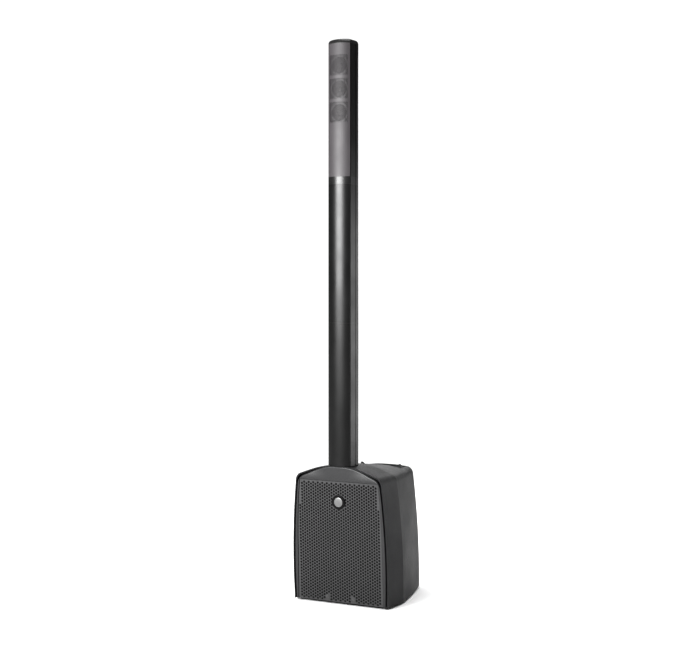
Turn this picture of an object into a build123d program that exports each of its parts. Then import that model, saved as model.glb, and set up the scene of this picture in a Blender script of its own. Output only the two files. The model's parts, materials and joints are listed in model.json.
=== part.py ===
from build123d import *
import os
from math import cos, hypot, radians, sin, sqrt

# Column PA loudspeaker: a subwoofer base on rubber feet, with a three-piece column that
# plugs into its top. Millimetres, +Z up, front towards -Y, x = 0 in the plane of symmetry,
# origin on the floor under the middle of the outline.

# ---- Overall -------------------------------------------------------------------------
HEIGHT = 2008.0            # floor to the top of the column
AXIS_Y = -170.4            # the column's centre plane
FRONT_Y = -195.15          # front face of the base at floor level
REAR_Y = 217.6             # rear face of the base at floor level
LEAN = 2.35                # degrees by which the base's front and rear lean forward
FOOT_HEIGHT = 6.0          # underside of the base above the floor

# ---- Base outline --------------------------------------------------------------------
WAIST_Z = 208.0            # height at which the barrel-shaped sides are measured
SIDE_TOP = 437.0           # height at which a side turns into the rounded corner
CORNER = ((6.9, 16.3), (21.6, 25.8))        # corner arc's middle and end: in, and up
ARCH = ((0.84, 0.285), (0.6, 0.695), (0.37, 0.95), (0.0, 1.0))       # arched top: part of
#                                             its half-width, and part of its rise
ARCH_RISE = 30.5
ABOVE_ALL = 520.0          # a height clear of the base's top, for cuts that open upwards
RIM_HALF = (189.0, 191.0, 175.0)            # the shell's front rim: half-widths at the foot,
RIM_DEPTH = 1.5            #                  waist and side top, and its place behind the frame's face
MOUTH_WALL = 4.0           # the shell around its mouth, which the frame and the board sit in
FRAME_INSET = 11.0         # the frame's edge inside the rim, which leaves a dark seam
FRAME_SIDE_TOP, FRAME_RISE = 439.0, 35.0    # before the inset is taken off
FRAME_DEPTH = 20.0
FRAME_FILLET = 4.0
FRAME_LEDGE = 12.0         # width of the frame's ledge behind the grille's edge
BAFFLE_DEPTH = 15.0
SHELL_WALL = 5.0
FLANGE_DEPTH = 38.5        # thick front of the shell, whose rear edge is the board's ledge
LEDGE_INSET = 25.0
# Shell sections: place behind the column's centre plane, three half-widths, side top, rise.
BAND_SECTIONS = (
    (FRONT_Y + RIM_DEPTH - AXIS_Y, RIM_HALF, SIDE_TOP, ARCH_RISE),
    (93.0, (190.5, 191.5, 173.5), SIDE_TOP, 30.0),
)
TAPER_SECTIONS = (
    BAND_SECTIONS[1],
    (190.0, (167.5, 168.5, 152.0), 434.0, 20.0),
    (278.0, (143.5, 144.0, 128.0), 431.5, 11.5),
    (350.0, (122.0, 122.0, 106.5), 430.5, 5.5),
    (388.0, (110.0, 110.0, 93.0), 430.5, 3.5),
)
REAR_FILLET = 24.0

# ---- Grille --------------------------------------------------------------------------
GRILLE_HALF = (163.6, 162.0, 151.0)         # half-widths at the foot, waist and top
GRILLE_BOTTOM, GRILLE_TOP = 8.0, 439.0
GRILLE_T = 1.5
GRILLE_DEPTH = 2.0         # the grille's face lies this far behind the frame's face
GRILLE_PITCH = 21.0        # height between two holes of one upright column of holes
GRILLE_HOLE_R = 7.0
GRILLE_MARGIN = 13.0
GRILLE_GAP = 1.5           # dark line between the grille and the frame around it
GRILLE_CLEAR = 17.0        # no hole is centred nearer than this to a fixing or the badge
FOAM_T = 4.0
GRILLE_SCREW = (53.0, 24.0)                 # x and z of the two fixings at its lower edge
GRILLE_SCREW_R = 2.0
BADGE_Z, BADGE_R, BADGE_DISC_R = 366.0, 26.3, 21.5

# ---- Woofer and ports ----------------------------------------------------------------
WOOFER_Z, FLANGE_R, CUTOUT_R = 262.0, 131.0, 116.5
FLANGE_T = 6.0
CONE_R, COIL_R = 90.0, 25.0
WOOFER_SCREWS, SCREW_RING_R = 8, 124.0
PORT_X, PORT_Z, PORT_R, PORT_WALL, PORT_LENGTH = 82.0, 78.0, 36.0, 3.0, 120.0

# ---- Rear panel: half-width, lower and upper edge, and where things sit on it ---------
PANEL_HALF, PANEL_LOW, PANEL_HIGH, PANEL_T = 72.0, 60.0, 390.0, 3.0
PANEL_LEDGE = 6.0
PANEL_RECESS = 15.0        # the panel's face lies this far inside the rear face
KNOB_X, KNOB_Z, KNOB_R = (-46.0, 0.0, 46.0), 352.0, 9.5
BUTTON_X, LED_X, SMALL_Z = -46.0, 0.0, 310.0
JACK_X, JACK_Z, JACK_HALF = 36.0, 262.0, (13.0, 15.5)
LINE_Z = 215.0
SINK_LOW, SINK_HIGH, SINK_HALF = 108.0, 186.0, 50.0
INLET_X, MAINS_Z, INLET_HALF = -36.0, 84.0, (15.0, 12.0)
SWITCH_X, SWITCH_HALF = 36.0, (15.0, 12.0)

# ---- Column --------------------------------------------------------------------------
COLUMN_BASE, LOWER_TOP, MID_TOP, COLLAR_TOP = 494.0, 1001.0, 1494.0, 1520.0
CAP_BOTTOM = 1993.0
BODY_HALF, BODY_REAR, REAR_R = 44.0, 44.0, 22.0
BOW, FRONT_EDGE = 13.0, -33.0               # bulge and rear edge of its bowed front
GROOVE_DEPTH, SIDE_GROOVE_DEPTH = 2.5, 1.0
TUBE_WALL = 3.0
CAP_PROFILE = ((0.0, 0.0), (0.45, 1.2), (0.8, 4.5), (1.0, 10.0))    # part of its height, inset
JOINT_GAP = 0.2            # gap between two pieces of the column that rest on each other
TONGUE_HALF, TONGUE_R, TONGUE_Y = (29.0, 16.0), 6.0, 20.0
TONGUE_LENGTH = 60.0
TONGUE_GAP = 0.4
WINDOW_HALF, WINDOW_HEIGHT, WINDOW_PITCH, TOP_WINDOW_Z = 36.0, 75.0, 83.5, 1915.5
WELL_FLOOR = -31.0

# ---- Handle --------------------------------------------------------------------------
CUP_HALF, CUP_Y, CUP_DEPTH_HALF, CUP_FLOOR, CUP_WALL = 88.0, 290.0, 40.0, 432.0, 4.0
PIVOT_Y, PIVOT_Z, PIVOT_R = 314.0, 446.0, 4.0
GRIP_Y, GRIP_Z, GRIP_R, GRIP_HALF = 282.0, 452.0, 8.0, 77.0
GRIP_RISE = 3.0            # the grip bows up by this much at its middle
ARM_T, KNUCKLE_R, KNUCKLE_Z = 5.0, 6.0, 465.0   # arms at the grip's ends, and their upper ends
TRUNNION_END = 86.5

FOOT_R = 13.5
FEET = ((-160.0, 30.0), (160.0, 30.0), (-88.0, 325.0), (88.0, 325.0))

parts = {}


# ---- Helpers -------------------------------------------------------------------------
def front(shape):
    """Place something drawn upright, with y = 0 in the frame's face and +y inwards."""
    return Location((0, FRONT_Y, 0), (LEAN, 0, 0)) * shape


def rear(shape):
    """Place something drawn upright, with y = 0 in the rear face and -y inwards."""
    return Location((0, REAR_Y, 0), (LEAN, 0, 0)) * shape


def on_panel(shape):
    """Place something drawn upright, with y = 0 in the panel's outer face and -y inwards."""
    return rear(Pos(0, -PANEL_RECESS, 0) * shape)


def slab(face, y0, y1):
    """Extrude an x-z outline from y0 to y1."""
    return extrude(Plane.XZ.offset(-y1) * face, y1 - y0)


def block(x0, x1, y0, y1, z0, z1):
    return Pos((x0 + x1) / 2, (y0 + y1) / 2, (z0 + z1) / 2) * Box(x1 - x0, y1 - y0, z1 - z0)


def rod(x, z, radius, y0, y1):
    """A round bar along y."""
    return Pos(x, (y0 + y1) / 2, z) * Rot(90, 0, 0) * Cylinder(radius, y1 - y0)


def turned(points, x=0.0, z=0.0):
    """Turn a profile of (radius, y) points about the y axis through (x, z)."""
    profile = Plane.XY * make_face(Polyline(*points, close=True))
    return Pos(x, 0, z) * revolve(profile, Axis.Y)


def ring(inner, outer, y0, y1, x=0.0, z=0.0):
    return rod(x, z, outer, y0, y1) - rod(x, z, inner, y0 - 1, y1 + 1)


def column_box(half, y_middle, z0, z1, radius):
    """An upright rounded block of the column, y measured from the column's centre plane."""
    outline = RectangleRounded(2 * half[0], 2 * half[1], radius)
    return Pos(0, AXIS_Y + y_middle, z0) * extrude(outline, z1 - z0)


def polar(count, radius, start=0.0):
    return [(radius * cos(radians(start + 360 * n / count)),
             radius * sin(radians(start + 360 * n / count))) for n in range(count)]


# ---- Outlines ------------------------------------------------------------------------
def base_outline(half=RIM_HALF, side_top=SIDE_TOP, rise=ARCH_RISE, inset=0.0, bottom=FOOT_HEIGHT):
    """Barrel-shaped sides, rounded upper corners and an arched top, inset all round."""
    foot, waist, top = (h - inset for h in half)
    side_z = side_top - inset
    (mid_in, mid_up), (end_in, end_up) = CORNER
    arch_half, arch_z = top - end_in, side_z + end_up
    right = [(arch_half * x, arch_z + rise * z) for x, z in ARCH]
    left = [(-x, z) for x, z in reversed(right[:-1])]
    low = bottom + inset
    edges = [Line((-foot, low), (foot, low)), Spline((arch_half, arch_z), *right, *left, (-arch_half, arch_z))]
    for s in (1, -1):
        edges.append(ThreePointArc((s * foot, low), (s * waist, WAIST_Z), (s * top, side_z)))
        edges.append(ThreePointArc((s * top, side_z), (s * (top - mid_in), side_z + mid_up),
                                   (s * arch_half, arch_z)))
    return make_face(edges)


def frame_outline():
    return base_outline(RIM_HALF, FRAME_SIDE_TOP, FRAME_RISE, FRAME_INSET, FOOT_HEIGHT - FRAME_INSET)


def grille_outline(grow=0.0, bottom=GRILLE_BOTTOM):
    foot, waist, top = (h + grow for h in GRILLE_HALF)
    high = GRILLE_TOP + grow
    edges = [Line((-foot, bottom), (foot, bottom)), Line((-top, high), (top, high))]
    for s in (1, -1):
        edges.append(ThreePointArc((s * foot, bottom), (s * waist, WAIST_Z), (s * top, high)))
    return make_face(edges)


def column_outline(inset=0.0, grooves=True):
    """The column's section: a bowed front, grooved sides and a rounded rear."""
    half, rear_y, front_y = BODY_HALF - inset, BODY_REAR - inset, FRONT_EDGE + inset
    radius = REAR_R - inset
    corner = (half - radius * (1 - sqrt(0.5)), rear_y - radius * (1 - sqrt(0.5)))
    side = [(half, front_y)]
    if grooves:
        for y0, y1, depth in ((front_y + 1.5, front_y + 4.5, GROOVE_DEPTH), (5.5, 8.5, SIDE_GROOVE_DEPTH)):
            side += [(half, y0), (half - depth, y0), (half - depth, y1), (half, y1)]
    side.append((half, rear_y - radius))
    edges = [ThreePointArc((-half, front_y), (0, front_y - BOW), (half, front_y)),
             Line((half - radius, rear_y), (radius - half, rear_y))]
    for s in (1, -1):
        edges.append(Polyline(*[(s * x, y) for x, y in side]))
        edges.append(ThreePointArc((s * half, rear_y - radius), (s * corner[0], corner[1]),
                                   (s * (half - radius), rear_y)))
    return make_face(edges)


def column_solid(z0, z1, inset=0.0, grooves=True):
    return Pos(0, AXIS_Y, z0) * extrude(column_outline(inset, grooves), z1 - z0)


# ---- Cabinet -------------------------------------------------------------------------
def panel_outline(grow=0.0):
    return Pos(0, (PANEL_HIGH + PANEL_LOW) / 2) * RectangleRounded(
        2 * (PANEL_HALF + grow), PANEL_HIGH - PANEL_LOW + 2 * grow, 7 + max(grow, -2))


def shell_section(section, inset=0.0, shift=0.0):
    """One leaning section of the shell as a face."""
    y, half, side_top, rise = section
    outline = Plane.XZ * base_outline(half, side_top, rise, inset)
    return Location((0, AXIS_Y + y + shift, 0), (LEAN, 0, 0)) * outline


def shell_outside():
    band = loft([shell_section(s) for s in BAND_SECTIONS], ruled=True)
    taper = loft([shell_section(s) for s in TAPER_SECTIONS])
    rear_edges = taper.faces().sort_by(Axis.Y)[-1].edges()
    return band + fillet(rear_edges, REAR_FILLET)


def shell_inside():
    band = loft([shell_section(BAND_SECTIONS[0], SHELL_WALL, FLANGE_DEPTH),
                 shell_section(BAND_SECTIONS[1], SHELL_WALL)], ruled=True)
    taper = loft([shell_section(s, SHELL_WALL) for s in TAPER_SECTIONS[:-1]]
                 + [shell_section(TAPER_SECTIONS[-1], SHELL_WALL, -SHELL_WALL)])
    return band + taper


def make_cabinet():
    outside = shell_outside()
    ledge = FRAME_DEPTH + BAFFLE_DEPTH
    shell = outside - shell_inside()
    shell -= front(slab(base_outline(inset=MOUTH_WALL, bottom=-2 * FOOT_HEIGHT), -5, ledge))
    shell -= front(slab(base_outline(inset=LEDGE_INSET), ledge - 1, ledge + 12))
    shell += on_panel(slab(panel_outline(4), -PANEL_T - 3, PANEL_RECESS - 3))
    shell -= on_panel(slab(panel_outline(0.5), -PANEL_T, PANEL_RECESS + 5))
    shell -= on_panel(slab(panel_outline(-PANEL_LEDGE), -PANEL_T - 9, 5))
    for x, z in panel_screw_places():
        shell -= on_panel(rod(x, z, 1.8, -9, 0))
    cup_hole = block(-CUP_HALF, CUP_HALF, AXIS_Y + CUP_Y - CUP_DEPTH_HALF,
                     AXIS_Y + CUP_Y + CUP_DEPTH_HALF, CUP_FLOOR, ABOVE_ALL)
    shell -= cup_hole
    for x, y in FEET:
        shell -= Pos(x, AXIS_Y + y, 10) * Cylinder(2.6, 40)
    parts["handle_cup"] = handle_cup(outside, cup_hole)
    return shell


def handle_cup(outside, cup_hole):
    """A tray whose rim follows the shell's top, with a pivot hole in each end wall."""
    low, high = AXIS_Y + CUP_Y - CUP_DEPTH_HALF, AXIS_Y + CUP_Y + CUP_DEPTH_HALF
    cup = cup_hole & outside
    cup -= block(-CUP_HALF + CUP_WALL, CUP_HALF - CUP_WALL, low + CUP_WALL, high - CUP_WALL,
                 CUP_FLOOR + CUP_WALL, ABOVE_ALL)
    pivot = Pos(0, AXIS_Y + PIVOT_Y, PIVOT_Z) * Rot(0, 90, 0) * Cylinder(PIVOT_R + 0.3, 2 * CUP_HALF - 2)
    return cup - pivot


def make_handle():
    """A bail: a bowed round grip, two flat arms, and a trunnion on each arm."""
    y = AXIS_Y + GRIP_Y
    end = GRIP_HALF + ARM_T / 2
    path = ThreePointArc((-end, y, GRIP_Z), (0, y, GRIP_Z + GRIP_RISE), (end, y, GRIP_Z))
    grip = sweep(Plane(origin=path @ 0, z_dir=path % 0) * Circle(GRIP_R), path)
    rounds = ((y, KNUCKLE_Z, KNUCKLE_R), (y, GRIP_Z, GRIP_R), (AXIS_Y + PIVOT_Y, PIVOT_Z, PIVOT_R + 3))
    arm = make_hull([(Pos(a, b) * Circle(radius)).edge() for a, b, radius in rounds])
    for s in (1, -1):
        grip += Plane.YZ.offset(min(s * GRIP_HALF, s * (GRIP_HALF + ARM_T))) * extrude(arm, ARM_T)
        grip += (Pos(s * (TRUNNION_END + GRIP_HALF) / 2, AXIS_Y + PIVOT_Y, PIVOT_Z)
                 * Rot(0, 90, 0) * Cylinder(PIVOT_R, TRUNNION_END - GRIP_HALF))
    return grip


def make_front_frame():
    frame = slab(frame_outline(), 0, FRAME_DEPTH)
    frame = fillet(frame.faces().sort_by(Axis.Y)[0].edges(), FRAME_FILLET)
    frame -= slab(grille_outline(GRILLE_GAP, FOOT_HEIGHT - 5), -1, GRILLE_DEPTH + GRILLE_T + FOAM_T)
    above_ledge = Pos(0, FOOT_HEIGHT + 20 + SIDE_TOP / 2) * Rectangle(2 * SIDE_TOP, SIDE_TOP)
    opening = grille_outline(-FRAME_LEDGE) & above_ledge
    return frame - slab(opening, 0, FRAME_DEPTH + 1)


def hole_centres():
    """Staggered holes that leave a plain margin inside the grille's edge."""
    across = GRILLE_PITCH * sqrt(3) / 2
    foot, waist, top = GRILLE_HALF
    centres = []
    for column in range(-10, 11):
        x = column * across
        for row in range(30):
            z = GRILLE_BOTTOM + GRILLE_MARGIN + (row + 0.5 * (column % 2)) * GRILLE_PITCH
            part = (z - WAIST_Z) / (GRILLE_TOP - WAIST_Z)
            half = waist - (waist - top) * part ** 2 if part > 0 else foot + (waist - foot) * z / WAIST_Z
            inside = abs(x) < half - GRILLE_MARGIN and z < GRILLE_TOP - GRILLE_MARGIN
            clear_of_screws = hypot(abs(x) - GRILLE_SCREW[0], z - GRILLE_SCREW[1]) > GRILLE_CLEAR
            clear_of_badge = hypot(x, z - BADGE_Z) > GRILLE_CLEAR
            if inside and clear_of_screws and clear_of_badge:
                centres.append((x, z))
    return centres


def make_grille():
    outer = grille_outline().face().outer_wire()
    holes = [Wire.make_circle(GRILLE_HOLE_R).moved(Location((x, z, 0))) for x, z in hole_centres()]
    for s in (1, -1):
        fixing = Location((s * GRILLE_SCREW[0], GRILLE_SCREW[1], 0))
        holes.append(Wire.make_circle(GRILLE_SCREW_R + 0.2).moved(fixing))
    return slab(Face(outer, holes), GRILLE_DEPTH, GRILLE_DEPTH + GRILLE_T)


def make_front():
    foam_y = GRILLE_DEPTH + GRILLE_T
    screw_x, screw_z = GRILLE_SCREW
    screws = []
    for s in (1, -1):
        screws.append(rod(s * screw_x, screw_z, 4, GRILLE_DEPTH - 2.0, GRILLE_DEPTH - 0.6)
                      + rod(s * screw_x, screw_z, 7, GRILLE_DEPTH - 0.8, GRILLE_DEPTH)
                      + rod(s * screw_x, screw_z, GRILLE_SCREW_R, GRILLE_DEPTH - 1, FRAME_DEPTH))
    pins = Compound(children=[rod(s * screw_x, screw_z, GRILLE_SCREW_R + 0.05, -9, 60) for s in (1, -1)])
    frame = make_front_frame() - pins
    parts["front_frame"] = front(frame)
    parts["front_grille"] = front(make_grille())
    parts["grille_foam"] = front(slab(grille_outline(-1.0), foam_y, foam_y + FOAM_T) - pins)
    parts["grille_screws"] = Compound(children=[front(s) for s in screws])
    badge = turned([(0, 0.6), (BADGE_DISC_R + 0.3, 0.6), (BADGE_DISC_R + 0.3, -1.5), (BADGE_R - 1, -1.5),
                    (BADGE_R, -0.5), (BADGE_R, GRILLE_DEPTH), (0, GRILLE_DEPTH)], z=BADGE_Z)
    disc = turned([(0, 0.6), (BADGE_DISC_R, 0.6), (BADGE_DISC_R, -0.6), (13, -2.2), (0, -3.0)], z=BADGE_Z)
    parts["badge_ring"] = front(badge)
    parts["badge_disc"] = front(disc)


# ---- Woofer and baffle ---------------------------------------------------------------
def make_basket(face):
    """Flange, conical frame with windows, spider ledge and magnet seat, as one casting."""
    basket = turned([(104, face), (FLANGE_R, face), (FLANGE_R, face + FLANGE_T), (115, face + FLANGE_T),
                     (76, face + 66), (34, face + 66), (34, face + 62), (58, face + 62), (58, face + 53),
                     (66, face + 53), (66, face + 56), (73, face + 56), (104, face + 6)], z=WOOFER_Z)
    for x, z in polar(6, 88, 30):
        basket -= rod(x, WOOFER_Z + z, 17, face + 16, face + 80)
    return basket


def make_woofer():
    face = FRAME_DEPTH
    cone_back = face + 42
    basket = make_basket(face)
    screws, shanks = [], []
    for x, z in polar(WOOFER_SCREWS, SCREW_RING_R, 22.5):
        shank = rod(x, WOOFER_Z + z, 2.2, face - 1, face + BAFFLE_DEPTH - 2)
        screws.append(rod(x, WOOFER_Z + z, 4.5, face - 3, face) + shank)
        shanks.append(shank)
    shanks = Compound(children=shanks)
    parts["woofer_basket"] = front(basket - shanks)
    parts["woofer_screws"] = Compound(children=[front(s) for s in screws])
    parts["woofer_cone"] = front(turned(
        [(CONE_R, face), (CONE_R, face + 1.2), (86, face + 1.2), (COIL_R + 1.6, cone_back + 1.2),
         (COIL_R + 1.6, cone_back), (85.2, face)], z=WOOFER_Z))
    cap_r = 44.0
    cap_y = face + (85.2 - cap_r) / (85.2 - COIL_R - 1.6) * 42
    cap = turned([(0, cap_y - 16), (16, cap_y - 14), (30, cap_y - 9), (cap_r, cap_y - 1.4),
                  (cap_r - 0.8, cap_y - 0.4), (29, cap_y - 7.6), (15, cap_y - 12.7), (0, cap_y - 14.6)],
                 z=WOOFER_Z)
    parts["woofer_dust_cap"] = front(cap)
    parts["woofer_voice_coil"] = front(ring(COIL_R, COIL_R + 1.4, cone_back - 4, face + 76, z=WOOFER_Z))
    parts["woofer_surround"] = front(turned(
        [(CONE_R - 4, face), (CONE_R - 4, face - 1), (CONE_R, face - 1), (CONE_R + 3, face - 4.5),
         (CONE_R + 7.5, face - 6), (CONE_R + 12, face - 4.5), (CONE_R + 15, face - 1), (112, face - 1),
         (112, face), (104.5, face), (CONE_R + 11.5, face - 3.5), (CONE_R + 7.5, face - 5),
         (CONE_R + 3.5, face - 3.5), (CONE_R + 0.5, face)], z=WOOFER_Z))
    spider = [(COIL_R + 1.6, 52), (COIL_R + 1.6, 50.5), (35, 50.5), (39, 48.5), (43, 50.5), (47, 48.5),
              (51, 50.5), (65.5, 50.5), (65.5, 52.8), (58.5, 52.8), (51, 52), (47, 50), (43, 52),
              (39, 50), (35, 52)]
    parts["woofer_spider"] = front(turned([(r, face + y) for r, y in spider], z=WOOFER_Z))
    parts["woofer_top_plate"] = front(ring(COIL_R + 2.4, 60, face + 66, face + 74, z=WOOFER_Z))
    parts["woofer_magnet"] = front(ring(36, 68, face + 74, face + 94, z=WOOFER_Z))
    parts["woofer_yoke"] = front(rod(0, WOOFER_Z, 62, face + 94, face + 102)
                                 + rod(0, WOOFER_Z, COIL_R - 1, face + 66, face + 95))
    return shanks


def make_baffle(shanks):
    face, back = FRAME_DEPTH, FRAME_DEPTH + BAFFLE_DEPTH
    inset = MOUTH_WALL + 0.3
    board = slab(base_outline(inset=inset, bottom=FOOT_HEIGHT - inset), face, back)
    board -= rod(0, WOOFER_Z, FLANGE_R + 0.5, face - 1, face + FLANGE_T)
    board -= rod(0, WOOFER_Z, CUTOUT_R, face - 1, back + 1)
    board -= shanks
    for name, s in (("port_left", -1), ("port_right", 1)):
        port = turned([(PORT_R - PORT_WALL + 4, face - 3), (PORT_R + 6, face - 3), (PORT_R + 6, face),
                       (PORT_R, face), (PORT_R, face + PORT_LENGTH),
                       (PORT_R - PORT_WALL, face + PORT_LENGTH), (PORT_R - PORT_WALL, face + 4)],
                      s * PORT_X, PORT_Z)
        parts[name] = front(port)
        board -= rod(s * PORT_X, PORT_Z, PORT_R + 0.2, face - 1, back + 1)
    parts["baffle_board"] = front(board)


# ---- Rear panel ----------------------------------------------------------------------
def panel_screw_places():
    x = PANEL_HALF - 5
    rows = [PANEL_LOW + 6 + n * (PANEL_HIGH - PANEL_LOW - 12) / 3 for n in range(4)]
    return [(s * x, z) for z in rows for s in (1, -1)]


def make_panel():
    panel = slab(panel_outline(), -PANEL_T, 0)
    panel -= block(-SINK_HALF, SINK_HALF, -9, 9, SINK_LOW, SINK_HIGH)
    for x in KNOB_X:
        panel -= rod(x, KNOB_Z, 3.6, -9, 9)
    panel -= rod(BUTTON_X, SMALL_Z, 4.6, -9, 9) + rod(LED_X, SMALL_Z, 2.6, -9, 9)
    for s in (1, -1):
        panel -= rod(s * JACK_X, JACK_Z, 12.0, -9, 9)
    panel -= rod(0, LINE_Z, 12.0, -9, 9)
    for x, half in ((INLET_X, INLET_HALF), (SWITCH_X, SWITCH_HALF)):
        panel -= block(x - half[0] + 2, x + half[0] - 2, -9, 9, MAINS_Z - half[1] + 2, MAINS_Z + half[1] - 2)
    screws = []
    for x, z in panel_screw_places():
        panel -= rod(x, z, 1.8, -9, 9)
        screws.append(on_panel(rod(x, z, 3.2, 0, 1.8) + rod(x, z, 1.6, -PANEL_T - 4, 0.1)))
    parts["panel_screws"] = Compound(children=screws)
    parts["amp_panel"] = on_panel(panel)


def make_heat_sink():
    """An extruded profile: base, two side flanges against the panel, and upright fins."""
    low, high = SINK_LOW - 5, SINK_HIGH + 5
    sink = block(-SINK_HALF - 10, SINK_HALF + 10, -22, -17, low, high)
    for s in (1, -1):
        x = sorted((s * (SINK_HALF + 5), s * (SINK_HALF + 10)))
        sink += block(*x, -18, -PANEL_T, low, high)
    for n in range(10):
        x = -45 + 10 * n
        sink += block(x - 1.1, x + 1.1, -18, -1.0, SINK_LOW + 1, SINK_HIGH - 1)
    return sink


def combo_jack(x):
    """Body behind the panel, a round nose through it, and the jack bore."""
    width, height = JACK_HALF
    body = block(x - width, x + width, -32, -PANEL_T, JACK_Z - height, JACK_Z + height)
    body += rod(x, JACK_Z, 11.8, -PANEL_T - 1, -0.5)
    return body - rod(x, JACK_Z, 3.3, -28, 5) - ring(8.0, 10.2, -14, 5, x, JACK_Z)


def line_out():
    body = block(-13, 13, -24, -PANEL_T, LINE_Z - 14, LINE_Z + 14) + rod(0, LINE_Z, 11.8, -PANEL_T - 1, -0.5)
    body -= rod(0, LINE_Z, 9.6, -15, 5)
    for x, z in polar(3, 4.4, 270):
        body += rod(x, LINE_Z + z, 1.2, -16, -3)
    return body


def iec_inlet():
    width, height = INLET_HALF
    body = block(INLET_X - width, INLET_X + width, 0, 2, MAINS_Z - height, MAINS_Z + height)
    body += block(INLET_X - width + 2.2, INLET_X + width - 2.2, -22, 0.5,
                  MAINS_Z - height + 2.2, MAINS_Z + height - 2.2)
    body -= block(INLET_X - 12, INLET_X + 12, -17, 5, MAINS_Z - 8.4, MAINS_Z + 8.4)
    for dx, dz in ((-7, 2.6), (0, -1.2), (7, 2.6)):
        body += block(INLET_X + dx - 1, INLET_X + dx + 1, -18, -3, MAINS_Z + dz - 2, MAINS_Z + dz + 2)
    return body


def switch_frame():
    width, height = SWITCH_HALF
    body = block(SWITCH_X - width, SWITCH_X + width, 0, 2, MAINS_Z - height, MAINS_Z + height)
    body += block(SWITCH_X - width + 2.2, SWITCH_X + width - 2.2, -20, 0.5,
                  MAINS_Z - height + 2.2, MAINS_Z + height - 2.2)
    return body - block(SWITCH_X - 11, SWITCH_X + 11, -16, 5, MAINS_Z - 8.2, MAINS_Z + 8.2)


def power_rocker():
    """A shallow V-shaped rocker that turns about an x axis in the panel's face, upper half in."""
    width = 10.6
    profile = [(1.0, 7.3), (1.0, 0), (3.1, -7.3), (-1.5, -7.5), (-9, -4), (-9, 4), (-1.5, 7.5)]
    face = make_face(Polyline(*profile, close=True))
    return Pos(SWITCH_X - width, 0, MAINS_Z) * (Plane.YZ * extrude(face, 2 * width))


def make_controls():
    pots = []
    for name, x in zip(("knob_input_1", "knob_input_2", "knob_sub_level"), KNOB_X):
        pot = block(x - 8, x + 8, -PANEL_T - 9, -PANEL_T, KNOB_Z - 8, KNOB_Z + 8)
        pots.append(on_panel(pot - rod(x, KNOB_Z, 3.3, -PANEL_T - 7, 5)))
        knob = turned([(0, -9), (3, -9), (3, 0.6), (KNOB_R, 0.6), (KNOB_R - 1.0, 11.5),
                       (KNOB_R - 2.0, 12.5), (0, 12.5)], x, KNOB_Z)
        knob -= block(x - 0.7, x + 0.7, 11.7, 14, KNOB_Z + 1, KNOB_Z + KNOB_R)
        parts[name] = on_panel(knob)
    parts["control_pots"] = Compound(children=pots)
    parts["mode_button"] = on_panel(rod(BUTTON_X, SMALL_Z, 4.2, -7, 4))
    parts["power_led"] = on_panel(rod(LED_X, SMALL_Z, 2.4, -4, 1.2) + rod(LED_X, SMALL_Z, 3.4, -9, -PANEL_T))


def make_electronics():
    board = block(-60, 60, -52, -50, PANEL_LOW + 20, PANEL_HIGH - 60)
    for x, z, w, h, t in ((-30, 150, 14, 20, 14), (25, 160, 12, 12, 12), (30, 230, 10, 24, 8), (-25, 240, 18, 10, 6)):
        board += block(x - w, x + w, -50, -50 + t, z - h, z + h)
    parts["amp_board"] = on_panel(board)
    coil_y = AXIS_Y + 240
    floor = FOOT_HEIGHT + SHELL_WALL + 1.5
    torus = Pos(0, coil_y, floor + 22) * (Cylinder(50, 44) - Cylinder(14, 50))
    torus = fillet(torus.edges().filter_by(GeomType.CIRCLE), 6)
    parts["power_transformer"] = torus + Pos(0, coil_y, floor + 20) * Cylinder(14.5, 40)


# ---- Column --------------------------------------------------------------------------
def socket_pocket(top):
    """The space for a tongue below the given height."""
    half = tuple(h + TONGUE_GAP for h in TONGUE_HALF)
    return column_box(half, TONGUE_Y, top - TONGUE_LENGTH - 2, top + 5, TONGUE_R + TONGUE_GAP)


def contacts(top):
    """A contact block with four pins, moulded into the floor of a pocket."""
    floor = top - TONGUE_LENGTH - 2
    body = Pos(0, AXIS_Y + TONGUE_Y, floor + 1.5) * Box(34, 14, 5)
    for x in (-12, -4, 4, 12):
        body += Pos(x, AXIS_Y + TONGUE_Y, floor + 6) * Cylinder(1.5, 8)
    return body


def spigot(bottom):
    """A plug that fills the tube's lower end and carries the tongue below it."""
    plug = column_solid(bottom + JOINT_GAP + 1, bottom + 26, TUBE_WALL + 0.2, False)
    tongue = column_box(TONGUE_HALF, TONGUE_Y, bottom - TONGUE_LENGTH, bottom + 2, TONGUE_R)
    socket = Pos(0, AXIS_Y + TONGUE_Y, bottom - TONGUE_LENGTH + 4) * Box(36, 16, 16)
    return plug + tongue - socket


def collar(top):
    """An insert that fills the tube's upper end around a pocket."""
    body = column_solid(top - TONGUE_LENGTH - 8, top - 0.5, TUBE_WALL + 0.2, False)
    return body - socket_pocket(top) + contacts(top)


def tube(z0, z1):
    return column_solid(z0 + JOINT_GAP, z1) - column_solid(z0 - 5, z1 + 5, TUBE_WALL, False)


def make_spacers():
    for name, z0, z1 in (("lower", COLUMN_BASE, LOWER_TOP), ("mid", LOWER_TOP, MID_TOP)):
        parts[name + "_tube"] = tube(z0, z1)
        parts[name + "_spigot"] = spigot(z0)
        parts[name + "_collar"] = collar(z1)


def make_base_socket(shell):
    """The receptacle in the shell's crest: a flange under the column and a deep pocket."""
    outer = tuple(h + 5 for h in TONGUE_HALF)
    body = column_box(outer, TONGUE_Y, COLUMN_BASE - TONGUE_LENGTH - 8, COLUMN_BASE - 0.5, TONGUE_R + 5)
    hole = column_box(tuple(h + 0.2 for h in outer), TONGUE_Y, 400, ABOVE_ALL, TONGUE_R + 5.2)
    parts["column_socket"] = body - socket_pocket(COLUMN_BASE) + contacts(COLUMN_BASE)
    parts["cabinet_shell"] = shell - hole


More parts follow.
